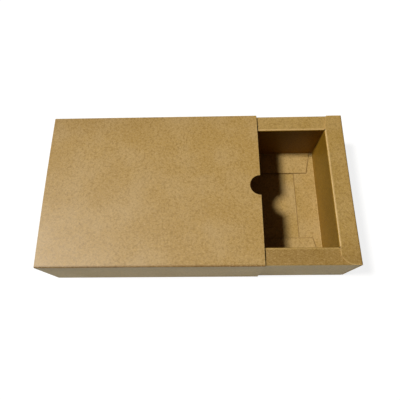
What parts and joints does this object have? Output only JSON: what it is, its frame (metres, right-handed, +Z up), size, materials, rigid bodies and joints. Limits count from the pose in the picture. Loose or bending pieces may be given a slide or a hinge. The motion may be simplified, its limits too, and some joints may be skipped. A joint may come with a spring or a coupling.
{
  "type": "sliding drawer gift box",
  "caption": "Kraft board drawer box: a flat sleeve with a thumb notch at its mouth, and a folded tray with thick hollow walls that slides out of it.",
  "frame": {"origin": "centre of the sleeve's underside, the face that the box rests on", "axes": "+X is the way the drawer pulls out of the sleeve, +Y is across the box, +Z is up"},
  "size_m": [0.2279, 0.12, 0.0485],
  "materials": {
    "sleeve_board": "matte",
    "tray_board": "matte"
  },
  "bodies": {
    "sleeve": {"sleeve_top_panel": "sleeve_board", "sleeve_near_wall": "sleeve_board", "sleeve_bottom_panel": "sleeve_board", "sleeve_far_wall": "sleeve_board", "sleeve_glue_flap": "sleeve_board"},
    "drawer": {"tray_base": "tray_board", "tray_near_outer_wall": "tray_board", "tray_near_rim": "tray_board", "tray_near_inner_wall": "tray_board", "tray_near_floor_flap": "tray_board", "tray_far_outer_wall": "tray_board", "tray_far_rim": "tray_board", "tray_far_inner_wall": "tray_board", "tray_far_floor_flap": "tray_board", "tray_front_outer_wall": "tray_board", "tray_front_rim": "tray_board", "tray_front_inner_wall": "tray_board", "tray_front_floor_flap": "tray_board", "tray_rear_outer_wall": "tray_board", "tray_rear_rim": "tray_board", "tray_rear_inner_wall": "tray_board", "tray_rear_floor_flap": "tray_board", "tray_front_near_corner_tab": "tray_board", "tray_front_far_corner_tab": "tray_board", "tray_rear_near_corner_tab": "tray_board", "tray_rear_far_corner_tab": "tray_board"}
  },
  "joints": [
    {"name": "drawer_slide", "type": "slide", "parent": "sleeve", "child": "drawer", "axis": [1, 0, 0], "range_m": [-0.0674, 0.0931]}
  ]
}
